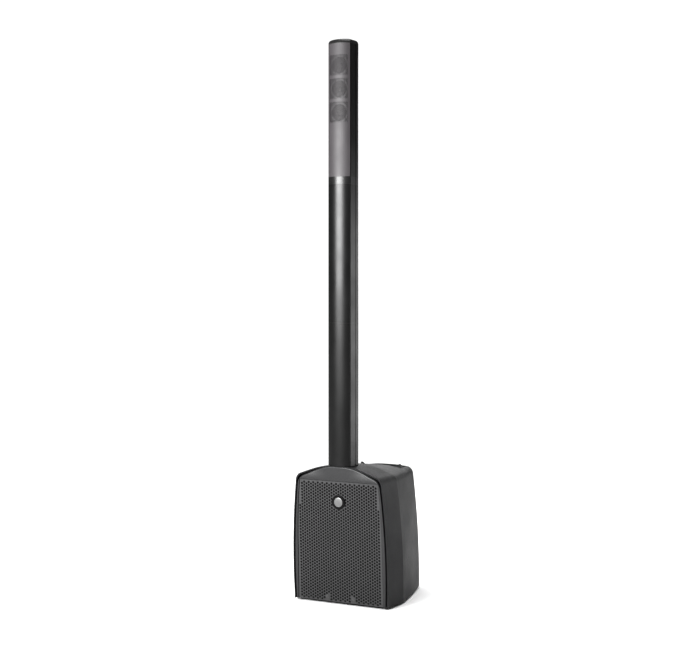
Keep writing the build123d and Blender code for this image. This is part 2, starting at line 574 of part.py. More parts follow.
def front_sheet(z0, z1, inset, thickness):
    """A bowed sheet that follows the column's front."""
    sheet = column_solid(z0, z1, inset, False) - column_solid(z0 - 1, z1 + 1, inset + thickness, False)
    return sheet & block(-60, 60, AXIS_Y - 80, AXIS_Y + FRONT_EDGE + 1.4, z0, z1)


def window_z(n):
    return TOP_WINDOW_Z - n * WINDOW_PITCH


def make_satellite():
    low, high = COLLAR_TOP, CAP_BOTTOM
    body = column_solid(low, high) - column_solid(low - 5, high + 5, TUBE_WALL, False)
    parts["satellite_shell"] = body - block(-60, 60, AXIS_Y - 80, AXIS_Y + FRONT_EDGE + 1.5, low - 9, high + 9)
    grille = front_sheet(low, high, 0, 1.4)
    slots = []
    for row in range(46):
        z = low + 12 + row * 9.0
        if z < TOP_WINDOW_Z + WINDOW_HEIGHT / 2:
            for x in (-24, -8, 8, 24):
                shift = 4 if row % 2 else -4
                slots.append(Pos(x + shift, AXIS_Y - 45, z) * Box(12, 40, 4.5))
    parts["satellite_grille"] = grille - Compound(children=slots)
    baffle = column_solid(low + 3, high - 3, TUBE_WALL + 0.2, False)
    baffle &= block(-60, 60, AXIS_Y - 80, AXIS_Y - 23, low, high)
    for n in range(3):
        z = window_z(n)
        baffle -= block(-WINDOW_HALF, WINDOW_HALF, AXIS_Y - 80, AXIS_Y + WELL_FLOOR,
                        z - WINDOW_HEIGHT / 2, z + WINDOW_HEIGHT / 2)
        baffle -= rod(0, z, 32.5, AXIS_Y - 60, AXIS_Y)
        make_driver(n + 1, z)
    parts["satellite_baffle"] = baffle
    parts["satellite_ring"] = (column_solid(MID_TOP + JOINT_GAP, COLLAR_TOP)
                               - column_solid(MID_TOP - 5, COLLAR_TOP + 5, TUBE_WALL, False))
    parts["satellite_spigot"] = spigot(MID_TOP)
    parts["satellite_cap"] = loft([Pos(0, AXIS_Y, CAP_BOTTOM + part * (HEIGHT - CAP_BOTTOM))
                                   * column_outline(inset, False) for part, inset in CAP_PROFILE])


def make_driver(number, z):
    """A three-inch driver: a pressed frame with its magnet, and the moving cone."""
    y = AXIS_Y + WELL_FLOOR
    frame = turned([(30.0, y - 2.5), (35.5, y - 2.5), (35.5, y), (32.0, y), (32.0, y + 4), (22, y + 22),
                    (22, y + 42), (0, y + 42), (0, y + 26), (8, y + 26), (8, y + 20), (14, y + 20),
                    (28.0, y + 2), (30.0, y + 1)], z=z)
    cone = turned([(29.4, y - 1.4), (27, y - 2.6), (24.5, y - 1.2), (9, y + 8), (5, y + 5.5), (0, y + 4.5),
                   (0, y + 5.7), (5, y + 6.8), (7.0, y + 9.2), (7.0, y + 22), (7.6, y + 22), (7.6, y + 10.2),
                   (9.4, y + 9.2), (24.6, y + 0.2), (27, y - 1.4), (29.4, y - 0.4)], z=z)
    parts[f"satellite_driver_{number}"] = frame
    parts[f"satellite_cone_{number}"] = cone


# ---- Feet ----------------------------------------------------------------------------
def make_feet():
    feet, screws = [], []
    height = FOOT_HEIGHT * cos(radians(LEAN))
    for x, y in FEET:
        y += AXIS_Y
        foot = Pos(x, y, height / 2) * Cone(FOOT_R - 1, FOOT_R, height)
        feet.append(foot - Pos(x, y, 0) * Cylinder(5.5, 7) - Pos(x, y, 5) * Cylinder(2.6, 12))
        head = Pos(x, y, 2.5) * Cylinder(4.8, 2)
        screws.append(head + Pos(x, y, 8) * Cylinder(2.3, 10))
    parts["rubber_feet"] = Compound(children=feet)
    parts["foot_screws"] = Compound(children=screws)


def main():
    make_front()
    shanks = make_woofer()
    make_baffle(shanks)
    make_base_socket(make_cabinet())
    parts["handle_grip"] = make_handle()
    make_panel()
    parts["heat_sink"] = on_panel(make_heat_sink())
    parts["combo_jack_1"] = on_panel(combo_jack(-JACK_X))
    parts["combo_jack_2"] = on_panel(combo_jack(JACK_X))
    parts["line_out"] = on_panel(line_out())
    parts["iec_inlet"] = on_panel(iec_inlet())
    parts["switch_frame"] = on_panel(switch_frame())
    parts["power_rocker"] = on_panel(power_rocker())
    make_controls()
    make_electronics()
    make_spacers()
    make_satellite()
    make_feet()
    os.makedirs("parts", exist_ok=True)
    for name, shape in parts.items():
        export_step(shape, f"parts/{name}.step")
    print(len(parts), "nodes")


main()
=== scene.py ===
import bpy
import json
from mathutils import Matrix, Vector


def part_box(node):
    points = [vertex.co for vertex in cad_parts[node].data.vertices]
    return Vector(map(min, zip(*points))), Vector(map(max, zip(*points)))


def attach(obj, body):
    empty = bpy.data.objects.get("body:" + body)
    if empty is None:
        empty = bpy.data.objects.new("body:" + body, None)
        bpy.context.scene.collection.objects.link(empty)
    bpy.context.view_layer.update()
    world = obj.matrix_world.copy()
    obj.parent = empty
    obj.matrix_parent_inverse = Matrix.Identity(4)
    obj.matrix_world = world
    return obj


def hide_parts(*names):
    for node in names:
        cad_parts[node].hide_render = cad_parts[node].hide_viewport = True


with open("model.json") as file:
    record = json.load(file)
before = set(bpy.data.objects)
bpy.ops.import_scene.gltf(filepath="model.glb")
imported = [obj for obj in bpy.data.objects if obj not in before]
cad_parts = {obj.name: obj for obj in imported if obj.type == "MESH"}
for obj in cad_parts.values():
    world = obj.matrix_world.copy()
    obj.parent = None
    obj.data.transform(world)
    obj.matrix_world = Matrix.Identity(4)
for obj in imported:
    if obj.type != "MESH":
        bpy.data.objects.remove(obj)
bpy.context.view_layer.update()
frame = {"nodes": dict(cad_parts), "record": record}

import json
from math import asin, atan2, cos, hypot, pi, radians, sin, sqrt

import bmesh
import bpy
from mathutils import Euler, Vector, noise as value_noise
from mathutils.geometry import delaunay_2d_cdt

# Everything is in metres, in the part's frame: +Z up, front towards -Y.

# ---- Driving dimensions ----------------------------------------------------------------
# They are the part's own, but for the grille's width and holes, the badge's disc and the
# satellite's windows, which follow the photo more closely than the CAD does.
LEAN = radians(2.35)       # the base's front and rear lean forward
FRONT_Y = -0.19515         # the frame's face at floor level
REAR_Y = 0.2176            # the rear face at floor level
COLUMN_Y = -0.1704         # the column's centre plane
FOOT_HEIGHT = 0.006        # the underside of the frame and the shell
WAIST_Z = 0.208            # the grille's sides are straight below it and curve in above it
FRAME_DEPTH = 0.020        # the front frame's thickness
GRILLE_HALF = (0.171, 0.1695, 0.158)        # half-widths at the foot, waist and top
GRILLE_DEPTH, GRILLE_T = 0.002, 0.0015      # how far behind the frame's face it lies, thickness
GRILLE_BOTTOM, GRILLE_TOP = 0.008, 0.439
GRILLE_GAP, GRILLE_LEDGE = 0.0015, 0.012    # round it, and the frame's ledge behind its edge
FOAM_T = 0.004
RECESS_FLOOR = GRILLE_DEPTH + GRILLE_T + FOAM_T
HOLE_PITCH, HOLE_R = 0.0108, 0.0042         # upright pitch and radius of the grille's holes
GRILLE_SCREW = (0.053, 0.024)               # x and z of the two fixings at its lower edge
BADGE_Z, BADGE_R, BADGE_DISC_R = 0.366, 0.0263, 0.0172
COLUMN_HALF = 0.044        # half the column's width
COLUMN_EDGE, COLUMN_BOW = 0.033, 0.013      # from its centre to its front's edges, and the bow
WINDOW_HALF, WINDOW_HEIGHT = 0.040, 0.076   # the satellite's three perforated windows
WINDOW_Z = (1.9155, 1.832, 1.7485)
REAR_FILLET = 0.024        # the rounding of the shell's rear edges
PANEL_RECESS = 0.015       # the rear panel's face lies this far inside the rear face
KNOB_X, KNOB_Z = (-0.046, 0.0, 0.046), 0.352
ROOM_LIGHT = 0.14          # the brightness of the room around the studio's own lights


# ---- Mesh helpers ----------------------------------------------------------------------
def on_front(x, depth, z):
    """A point of the base's front: depth is behind the frame's face, z is up along it."""
    return Vector((x, FRONT_Y + depth * cos(LEAN) - z * sin(LEAN), depth * sin(LEAN) + z * cos(LEAN)))


def off_front(point):
    """The (x, depth, z) that on_front turns into this point."""
    y = point.y - FRONT_Y
    return point.x, y * cos(LEAN) + point.z * sin(LEAN), point.z * cos(LEAN) - y * sin(LEAN)


def on_panel(x, out, z):
    """A point of the rear panel: out is behind the panel's outer face, towards +Y."""
    y = out - PANEL_RECESS
    return Vector((x, REAR_Y + y * cos(LEAN) - z * sin(LEAN), y * sin(LEAN) + z * cos(LEAN)))


def smooth(value):
    """An S-shaped step from 0 to 1 as value goes from 0 to 1."""
    value = min(1.0, max(0.0, value))
    return value * value * (3 - 2 * value)


def mesh_object(name, verts, faces, sharp=None):
    """A mesh with smooth shading, but for edges over this many degrees, or flat if it is None."""
    mesh = bpy.data.meshes.new(name)
    mesh.from_pydata([tuple(v) for v in verts], [], faces)
    bm = bmesh.new()
    bm.from_mesh(mesh)
    bmesh.ops.delete(bm, geom=[v for v in bm.verts if not v.link_faces], context="VERTS")
    bmesh.ops.recalc_face_normals(bm, faces=bm.faces)
    bm.to_mesh(mesh)
    bm.free()
    mesh.polygons.foreach_set("use_smooth", [sharp is not None] * len(mesh.polygons))
    if sharp is not None:
        mesh.set_sharp_from_angle(angle=radians(sharp))
    obj = bpy.data.objects.new(name, mesh)
    bpy.context.collection.objects.link(obj)
    return obj


def place_piece(obj, material, body, slot, *nodes):
    """Gives a piece its material and its body, and hides the CAD nodes it stands for; slot is not used."""
    obj.data.materials.append(material)
    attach(obj, body)
    if nodes:
        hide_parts(*nodes)


def stitched(rings, closed_along=False):
    """Quads between neighbouring rings of equal length, numbered ring by ring."""
    width, faces = len(rings[0]), []
    for r in range(len(rings) if closed_along else len(rings) - 1):
        for n in range(width):
            a, b = r * width, (r + 1) % len(rings) * width
            m = (n + 1) % width
            faces.append((a + n, a + m, b + m, b + n))
    return faces


def end_caps(rings):
    """The faces that close a stitched form at its first and last ring."""
    width, last = len(rings[0]), len(rings) - 1
    return [tuple(range(width)), tuple(last * width + n for n in reversed(range(width)))]


def solid_of_rings(name, rings, sharp):
    return mesh_object(name, sum(rings, []), stitched(rings) + end_caps(rings), sharp)


def circle_points(x, y, radius, count):
    return [(x + radius * cos(2 * pi * n / count), y + radius * sin(2 * pi * n / count))
            for n in range(count)]


def perforated_sheet(outline, holes, sides):
    """The points and triangles of a flat sheet with round holes, whose rims have this many sides."""
    points = [Vector(p) for p in outline]
    loops = [list(range(len(points)))]
    for x, y, radius in holes:
        start = len(points)
        points += [Vector(p) for p in circle_points(x, y, radius, sides)]
        loops.append(list(range(start, start + sides)))
    edges = [(a, b) for loop in loops for a, b in zip(loop, loop[1:] + loop[:1])]
    inside_only, tolerance = 1, 1e-7
    verts, _, triangles, _, _, _ = delaunay_2d_cdt(points, edges, [loops[0]], inside_only, tolerance)

    def hole_of(vertex):
        """The number of the hole that a point belongs to, or -1 for the outline."""
        return (vertex - len(outline)) // sides if vertex >= len(outline) else -1

    kept = [t for t in triangles if hole_of(t[0]) < 0 or len({hole_of(v) for v in t}) > 1]
    return verts, kept


def thick_sheet(name, points, triangles, place, thickness):
    """Two copies of a flat triangulated sheet, joined by walls along every open edge."""
    count = len(points)
    verts = [place(x, y, 0.0) for x, y in points] + [place(x, y, thickness) for x, y in points]
    faces = [tuple(t) for t in triangles] + [tuple(v + count for v in reversed(t)) for t in triangles]
    sides = dict.fromkeys((a, b) for t in triangles for a, b in zip(t, t[1:] + t[:1]))
    faces += [(b, a, a + count, b + count) for a, b in sides if (b, a) not in sides]
    return mesh_object(name, verts, faces)


# ---- Materials -------------------------------------------------------------------------
def new_material(name, colour, rough, metallic=0.0):
    material = bpy.data.materials.new(name)
    material.use_nodes = True
    shader = material.node_tree.nodes["Principled BSDF"]
    shader.inputs["Base Color"].default_value = (*colour, 1.0)
    shader.inputs["Roughness"].default_value = rough
    shader.inputs["Metallic"].default_value = metallic
    return material, shader


def add(material, kind):
    return material.node_tree.nodes.new(kind)


def link(material, source, target):
    material.node_tree.links.new(source, target)


def noise(material, scale, detail, stretch=(1, 1, 1)):
    """Noise over the object's own coordinates, scale in features per metre."""
    place = add(material, "ShaderNodeTexCoord")
    mapping = add(material, "ShaderNodeMapping")
    mapping.inputs["Scale"].default_value = stretch
    texture = add(material, "ShaderNodeTexNoise")
    texture.inputs["Scale"].default_value = scale
    texture.inputs["Detail"].default_value = detail
    link(material, place.outputs["Object"], mapping.inputs["Vector"])
    link(material, mapping.outputs["Vector"], texture.inputs["Vector"])
    return texture.outputs["Fac"]


def spread(material, value, low, high):
    """Maps the middle of the noise's range to the range from low to high."""
    node = add(material, "ShaderNodeMapRange")
    for key, number in (("From Min", 0.3), ("From Max", 0.7), ("To Min", low), ("To Max", high)):
        node.inputs[key].default_value = number
    link(material, value, node.inputs["Value"])
    return node.outputs["Result"]


def tint(material, shader, colour, value, amount):
    """Varies the base colour between darker and lighter by the noise value."""
    mix = add(material, "ShaderNodeMix")
    mix.data_type = "RGBA"
    colour_in = [s for s in mix.inputs if s.type == "RGBA"]
    colour_in[0].default_value = (*[c * (1 - amount) for c in colour], 1)
    colour_in[1].default_value = (*[c * (1 + amount) for c in colour], 1)
    link(material, value, mix.inputs[0])
    colour_out = [s for s in mix.outputs if s.type == "RGBA"][0]
    link(material, colour_out, shader.inputs["Base Color"])


def bump(material, shader, value, height):
    node = add(material, "ShaderNodeBump")
    node.inputs["Strength"].default_value = 1.0
    node.inputs["Distance"].default_value = height
    link(material, value, node.inputs["Height"])
    link(material, node.outputs["Normal"], shader.inputs["Normal"])


def textured(name, colour, rough, grain, height, metallic=0.0, amount=0.12, stretch=(1, 1, 1), gloss=0.5):
    """A surface with fine grain in its relief, and slow changes of colour and roughness.

    grain is the number of grains per metre, height their relief in metres, amount how far the
    colour varies and stretch what the grain's coordinates are multiplied by.
    """
    patches, rough_range = 9.0, 0.05
    material, shader = new_material(name, colour, rough, metallic)
    shader.inputs["Specular IOR Level"].default_value = gloss
    slow = noise(material, patches, detail=4.0)
    fine = noise(material, grain, detail=2.0, stretch=stretch)
    tint(material, shader, colour, slow, amount)
    varied = spread(material, slow, rough - rough_range, rough + rough_range)
    link(material, varied, shader.inputs["Roughness"])
    bump(material, shader, fine, height)
    return material


def grey(value, blue=0.0):
    return value, value, value + blue


def make_materials():
    """Each material slot's material."""
    return {
        "shell_plastic": textured("moulded_shell", grey(0.015, 0.001), 0.52, 900, 0.0004, gloss=0.25),
        "frame_plastic": textured("moulded_frame", grey(0.022, 0.001), 0.42, 1100, 0.0002, gloss=0.5),
        "baffle_wood": textured("painted_board", grey(0.006), 0.7, 300, 0.0003),
        "grille_steel": textured("powder_coat", grey(0.048, 0.001), 0.45, 1500, 0.0001, gloss=0.5),
        "satellite_grille_steel": textured("satellite_powder_coat", (0.050, 0.046, 0.049), 0.5, 1500,
                                           0.0001, gloss=0.45),
        "acoustic_foam": textured("open_foam", grey(0.016), 0.95, 700, 0.002, gloss=0.1),
        "black_steel": textured("black_oxide", grey(0.10), 0.4, 800, 0.0001, metallic=0.6),
        "badge_ring_plastic": textured("badge_ring_gloss", grey(0.003), 0.3, 500, 0.00005, gloss=0.2),
        "badge_metal": textured("turned_metal", grey(0.2), 0.45, 400, 0.0001, metallic=1.0, amount=0.05),
        "cast_frame": textured("coated_casting", grey(0.04), 0.5, 600, 0.0003, metallic=0.3),
        "ferrite": textured("ferrite", grey(0.06), 0.75, 500, 0.0003),
        "zinc_steel": textured("zinc_plate", grey(0.5), 0.35, 700, 0.0001, metallic=1.0),
        "spider_cloth": textured("resin_cloth", (0.45, 0.30, 0.12), 0.8, 1500, 0.0005),
        "surround_rubber": textured("surround_rubber", grey(0.02), 0.6, 500, 0.0001),
        "cone_paper": textured("pressed_paper", grey(0.02), 0.8, 500, 0.0006),
        "copper": textured("enamelled_wire", (0.5, 0.2, 0.08), 0.3, 900, 0.0001, metallic=1.0),
        "black_plastic": textured("black_plastic", grey(0.018), 0.5, 900, 0.0002),
        "panel_metal": textured("panel_coat", grey(0.05), 0.45, 1200, 0.0002),
        "sink_aluminium": textured("anodised_fins", grey(0.15), 0.4, 600, 0.0001, metallic=0.8),
        "circuit_board": textured("solder_mask", (0.01, 0.12, 0.04), 0.35, 400, 0.0001),
        "transformer_tape": textured("winding_tape", (0.6, 0.42, 0.05), 0.35, 120, 0.0004),
        "socket_plastic": textured("socket_plastic", grey(0.012), 0.35, 900, 0.0001),
        "switch_gloss": textured("switch_gloss", grey(0.012), 0.2, 400, 0.00005),
        "led_lens": textured("led_lens", (0.1, 0.6, 0.2), 0.25, 400, 0.00005),
        "knob_plastic": textured("knob_plastic", grey(0.04), 0.5, 900, 0.0002),
        "foot_rubber": textured("foot_rubber", grey(0.015), 0.8, 700, 0.0003),
        "grip_plastic": textured("grip_plastic", grey(0.03), 0.55, 900, 0.0003),
        "column_aluminium": textured("anodised_column", grey(0.005), 0.34, 900, 0.00005, gloss=0.33,
                                     stretch=(1, 1, 0.03), amount=0.05),
        "cap_plastic": textured("cap_plastic", grey(0.014), 0.4, 1000, 0.0001),
        "ring_gloss": textured("ring_gloss", grey(0.01), 0.33, 300, 0.00005, gloss=0.4),
        "scale_print": textured("scale_print", grey(0.8), 0.6, 1500, 0.00002),
    }


def finish_nodes(materials):
    """Gives each CAD node that stays in view its material."""
    for entry in frame["record"]["subparts"]:
        obj = frame["nodes"][entry["node"]]
        material = materials[entry["material_slot"]]
        for index in range(max(1, len(obj.material_slots))):
            if index < len(obj.data.materials):
                obj.data.materials[index] = material
            else:
                obj.data.materials.append(material)


# ---- Grilles ---------------------------------------------------------------------------
def grille_half_width(z):
    """Half the grille's width at this height."""
    foot, waist, top = GRILLE_HALF
    if z > WAIST_Z:
        return waist - (waist - top) * ((z - WAIST_Z) / (GRILLE_TOP - WAIST_Z)) ** 2
    return foot + (waist - foot) * z / WAIST_Z


def base_grille(materials):
    """The base's front grille, with upright columns of round holes, every other one half a pitch up."""
    steps = 24
    heights = [GRILLE_BOTTOM + (GRILLE_TOP - GRILLE_BOTTOM) * n / steps for n in range(steps + 1)]
    outline = [(grille_half_width(z), z) for z in heights]
    outline += [(-x, z) for x, z in reversed(outline)]
    across = HOLE_PITCH * sqrt(3) / 2
    margin, clear_of_screw, clear_of_badge = 0.0065, 0.0115, 0.0265
    columns = int(max(GRILLE_HALF) / across)
    rows = int((GRILLE_TOP - GRILLE_BOTTOM) / HOLE_PITCH) + 1
    holes = []
    for column in range(-columns, columns + 1):
        for row in range(rows):
            x = column * across
            z = GRILLE_BOTTOM + margin + (row + 0.5 * (column % 2)) * HOLE_PITCH
            inside = abs(x) < grille_half_width(z) - margin and z < GRILLE_TOP - margin
            near_screw = hypot(abs(x) - GRILLE_SCREW[0], z - GRILLE_SCREW[1]) < clear_of_screw
            near_badge = hypot(x, z - BADGE_Z) < clear_of_badge
            if inside and not near_screw and not near_badge:
                holes.append((x, z, HOLE_R))
    points, triangles = perforated_sheet(outline, holes, sides=12)

    def place(x, z, depth):
        return on_front(x, GRILLE_DEPTH + depth, z)

    grille = thick_sheet("front_grille_sheet", points, triangles, place, GRILLE_T)
    place_piece(grille, materials["grille_steel"], "base", "grille_steel", "front_grille")


def grille_foam(materials):
    """A layer of open-cell foam that fills the frame's recess behind the grille."""
    rows, columns, edge = 84, 60, 0.001
    pit_depth, pits_per_metre = 0.0003, 260
    front_gap, back_gap = 0.0005, 0.0002
    front, back = GRILLE_DEPTH + GRILLE_T + front_gap, RECESS_FLOOR - back_gap
    rings = []
    for row in range(rows + 1):
        z = GRILLE_BOTTOM + edge + (GRILLE_TOP - GRILLE_BOTTOM - 2 * edge) * row / rows
        across = [(grille_half_width(z) - edge) * (2 * n / columns - 1) for n in range(columns + 1)]
        pits = [pit_depth * value_noise.noise(Vector((x, z, 0)) * pits_per_metre) for x in across]
        ring = [on_front(x, front + pit, z) for x, pit in zip(across, pits)]
        rings.append(ring + [on_front(x, back, z) for x in reversed(across)])
    foam = solid_of_rings("grille_foam_layer", rings, sharp=40)
    place_piece(foam, materials["acoustic_foam"], "base", "acoustic_foam", "grille_foam")


def frame_outline(count):
    """The frame's outer edge in even steps, from its right foot over the top to its left foot.

    Its corners are the outer points of the CAD frame's back face, in the order of their angle.
    """
    tolerance, smoothings = 1e-5, 3
    corners = {}
    for vertex in frame["nodes"]["front_frame"].data.vertices:
        x, depth, z = off_front(vertex.co)
        outside = abs(x) > grille_half_width(z) or z > GRILLE_TOP
        if abs(depth - FRAME_DEPTH) < tolerance and outside:
            corners[round(atan2(x, WAIST_Z - z) % (2 * pi), 6)] = Vector((x, z))
    line = [corners[angle] for angle in sorted(corners)]
    reach = [0.0]
    for a, b in zip(line, line[1:]):
        reach.append(reach[-1] + (b - a).length)
    points, piece = [], 0
    for n in range(count + 1):
        distance = reach[-1] * n / count
        while piece < len(line) - 2 and distance > reach[piece + 1]:
            piece += 1
        part = (distance - reach[piece]) / (reach[piece + 1] - reach[piece])
        points.append(line[piece].lerp(line[piece + 1], part))
    for _ in range(smoothings):
        middle = [(a + 2 * b + c) / 4 for a, b, c in zip(points, points[1:], points[2:])]
        points = [points[0]] + middle + [points[-1]]
    return points


def front_frame(materials):
    """The moulded frame: rounded edges, a lip in the seam, and a hood that falls back at its sides."""
    steps, rings_across, crowding = 220, 24, 1.7
    side_top = 0.428                                    # the frame's sides end here, and its top begins
    crease_z, hood_depth, hood_rise = 0.444, 0.006, 0.05
    hood_middle, hood_width = 0.025, 0.085              # the hood stays forward this near the column
    round_side, round_top = 0.003, 0.006                # radii of the outer edge
    round_rise, round_width = 0.03, 0.08                # the radius changes over these lengths
    flare, flare_depth, flare_end = 0.0025, 0.012, 0.014      # the lip: its reach and its depths
    edges = frame_outline(steps)
    outer = []
    for n, edge in enumerate(edges):
        along = edges[min(n + 1, steps)] - edges[max(n - 1, 0)]
        outer.append(edge + flare * Vector((along.y, -along.x)).normalized())
    outer[0].y, outer[-1].y = edges[0].y, edges[-1].y
    widest = max(x for x, z in outer if z > side_top)

    def inner(point, grow):
        """The point of the grille's grown outline that faces a point of the outer edge."""
        x, z = point
        top = GRILLE_TOP + grow
        if z < side_top:
            z = FOOT_HEIGHT + (z - FOOT_HEIGHT) * (top - FOOT_HEIGHT) / (side_top - FOOT_HEIGHT)
            return Vector(((grille_half_width(z) + grow) * (1 if x > 0 else -1), z))
        return Vector((x * (GRILLE_HALF[2] + grow) / widest, top))

    def falls_back(x, z):
        """How far a point belongs to the sides of the hood, from 0 to 1."""
        return smooth((z - crease_z) / hood_rise) * smooth((abs(x) - hood_middle) / hood_width)

    sections = []
    for root, edge in zip(edges, outer):
        recess = inner(edge, GRILLE_GAP)
        ledge = inner(edge, -GRILLE_LEDGE)
        top_share = smooth((edge.y - side_top) / round_rise) * smooth(abs(edge.x) / round_width)
        radius = round_side + (round_top - round_side) * top_share
        section = []
        for n in range(rings_across + 1):
            point = edge.lerp(recess, (n / rings_across) ** crowding)
            from_edge = (point - edge).length
            short = max(0.0, radius - from_edge)
            depth = radius - sqrt(radius ** 2 - short ** 2) + hood_depth * falls_back(*point)
            section.append(on_front(point.x, depth, point.y))
        section += [on_front(recess.x, RECESS_FLOOR, recess.y), on_front(ledge.x, RECESS_FLOOR, ledge.y)]
        section += [on_front(ledge.x, FRAME_DEPTH, ledge.y), on_front(root.x, FRAME_DEPTH, root.y)]
        section += [on_front(root.x, flare_end, root.y), on_front(edge.x, flare_depth, edge.y)]
        sections.append(section)
    verts, faces = sum(sections, []), stitched(sections) + end_caps(sections)

    # the bar between the frame's feet, behind the grille's lower edge
    bar, overlap, bar_height = len(verts), 0.001, 0.020
    bar_half, bar_top = GRILLE_HALF[0] - GRILLE_LEDGE + overlap, FOOT_HEIGHT + bar_height
    bar_section = [(RECESS_FLOOR, FOOT_HEIGHT), (RECESS_FLOOR, bar_top),
                   (FRAME_DEPTH, bar_top), (FRAME_DEPTH, FOOT_HEIGHT)]
    for x in (-bar_half, bar_half):
        verts += [on_front(x, depth, z) for depth, z in bar_section]
    faces += [(bar + n, bar + (n + 1) % 4, bar + 4 + (n + 1) % 4, bar + 4 + n) for n in range(4)]
    faces += [tuple(bar + n for n in (3, 2, 1, 0)), tuple(bar + 4 + n for n in range(4))]
    piece = mesh_object("front_frame_moulding", verts, faces, sharp=35)
    place_piece(piece, materials["frame_plastic"], "base", "frame_plastic", "front_frame")


def badge(materials):
    """A shallow silver dome in a dark ring with rounded edges, in the middle of the grille."""
    segments, round_steps, dome_steps = 64, 6, 12
    proud, gap = 0.0015, 0.0003
    round_outside, round_inside = 0.0012, 0.0006
    dome_edge, dome_rise = -0.0012, 0.0016

    def turned(profile):
        """A ring of points round the badge's middle for each radius and depth of a profile."""
        rings = []
        for radius, depth in profile:
            circle = circle_points(0, BADGE_Z, radius, segments)
            rings.append([on_front(x, depth, z) for x, z in circle])
        return rings

    def rounding(wall, towards, radius):
        """A quarter round from the ring's face to its wall. The face is outwards of it if towards is 1."""
        angles = [pi / 2 * n / round_steps for n in range(round_steps + 1)]
        return [(wall + towards * radius * (1 - sin(a)), -proud + radius * (1 - cos(a))) for a in angles]

    well = BADGE_DISC_R + gap
    inside = rounding(well, 1, round_inside)[::-1]
    outside = rounding(BADGE_R, -1, round_outside)
    rings = turned([(well, GRILLE_DEPTH)] + inside + outside + [(BADGE_R, GRILLE_DEPTH)])
    ring = mesh_object("badge_ring_turned", sum(rings, []), stitched(rings, closed_along=True), sharp=40)
    place_piece(ring, materials["badge_ring_plastic"], "base", "badge_ring_plastic", "badge_ring")

    angles = [pi / 2 * n / dome_steps for n in range(dome_steps)]
    dome = [(BADGE_DISC_R * cos(a), dome_edge - dome_rise * sin(a)) for a in angles]
    disc = solid_of_rings("badge_dome", turned([(BADGE_DISC_R, GRILLE_DEPTH)] + dome), sharp=50)
    place_piece(disc, materials["badge_metal"], "base", "badge_metal", "badge_disc")


# ---- Rear ------------------------------------------------------------------------------
def rear_lining(materials, name, edge_z, end_drop, up):
    """A strip just under a rounded rear edge, over the opening that the CAD shell has there.

    The rounding cuts through the shell's wall, so this covers a fault and isn't a real piece.
    The opening at the bottom is longer than its strip, and stays open at both ends.
    edge_z is the edge's height in the middle, end_drop how much lower it is at the strip's ends,
    and up is 1 for the top edge and -1 for the bottom one.
    """
    under, thickness, half, spans = 0.0004, 0.0015, 0.078, 24
    start, sweep, turns = 4, 82, 12                     # degrees, and the number of steps
    angles = [radians(start + sweep * n / turns) for n in range(turns + 1)]
    outer = REAR_FILLET - under
    profile = [(outer, a) for a in angles] + [(outer - thickness, a) for a in reversed(angles)]
    rings = []
    for n in range(spans + 1):
        x = half * (2 * n / spans - 1)
        edge = edge_z - end_drop * (x / half) ** 2
        ring = []
        for r, a in profile:
            out = PANEL_RECESS - REAR_FILLET + r * cos(a)
            ring.append(on_panel(x, out, edge + up * (r * sin(a) - REAR_FILLET)))
        rings.append(ring)
    strip = solid_of_rings(name, rings, sharp=40)
    place_piece(strip, materials["shell_plastic"], "base", "shell_plastic")


def knob_scales(materials):
    """Eleven printed ticks round each level knob, 30 degrees apart, longer at the ends and the top."""
    inner, outer_long, outer_short, half_width = 0.0125, 0.0162, 0.0148, 0.0004
    back, face = -0.0001, 0.00012                       # under and above the panel's surface
    verts, faces = [], []
    for knob_x in KNOB_X:
        for tick in range(-5, 6):
            a = radians(30 * tick)
            outer = outer_long if tick % 5 == 0 else outer_short
            corners = ((inner, -half_width), (inner, half_width), (outer, half_width), (outer, -half_width))
            start = len(verts)
            for out in (back, face):
                for r, side in corners:
                    x = knob_x + r * sin(a) + side * cos(a)
                    verts.append(on_panel(x, out, KNOB_Z + r * cos(a) - side * sin(a)))
            top = start + 4
            faces += [(start, start + 1, start + 2, start + 3), (top + 3, top + 2, top + 1, top)]
            faces += [(start + n, top + n, top + (n + 1) % 4, start + (n + 1) % 4) for n in range(4)]
    ticks = mesh_object("knob_scale_ticks", verts, faces)
    place_piece(ticks, materials["scale_print"], "base", "panel_metal")


# ---- Satellite -------------------------------------------------------------------------
def satellite_front(materials):
    """The bowed front of the satellite, with fine holes in three windows over the drivers."""
    low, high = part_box("satellite_grille")
    clearance, edge_steps = 0.0002, 40                  # the clearance is to the ring below
    bottom, top = low.z + clearance, high.z
    radius = (COLUMN_HALF ** 2 + COLUMN_BOW ** 2) / (2 * COLUMN_BOW)
    half_arc = radius * asin(COLUMN_HALF / radius)
    pitch, hole_r, thickness = 0.0042, 0.00155, 0.0014
    across = pitch * sqrt(3) / 2
    columns = int(WINDOW_HALF / across)
    rows = int((WINDOW_HEIGHT - 2 * hole_r) / pitch)
    holes = []
    for middle in WINDOW_Z:
        for column in range(-columns, columns + 1):
            for row in range(rows):
                z = middle + (row - rows / 2 + 0.25 + 0.5 * (column % 2)) * pitch
                holes.append((column * across, z, hole_r))
    edge = [(-half_arc + 2 * half_arc * n / edge_steps, bottom) for n in range(edge_steps + 1)]
    outline = edge + [(x, top) for x, _ in reversed(edge)]
    points, triangles = perforated_sheet(outline, holes, sides=8)

    def place(x, z, depth):
        """Bends the flat sheet round the bow: x runs along the arc."""
        angle = x / radius
        r = radius - depth
        y = COLUMN_Y - COLUMN_EDGE - COLUMN_BOW + radius - r * cos(angle)
        return Vector((r * sin(angle), y, z))

    sheet = thick_sheet("satellite_front_sheet", points, triangles, place, thickness)
    place_piece(sheet, materials["satellite_grille_steel"], "satellite", "satellite_grille_steel",
                "satellite_grille")


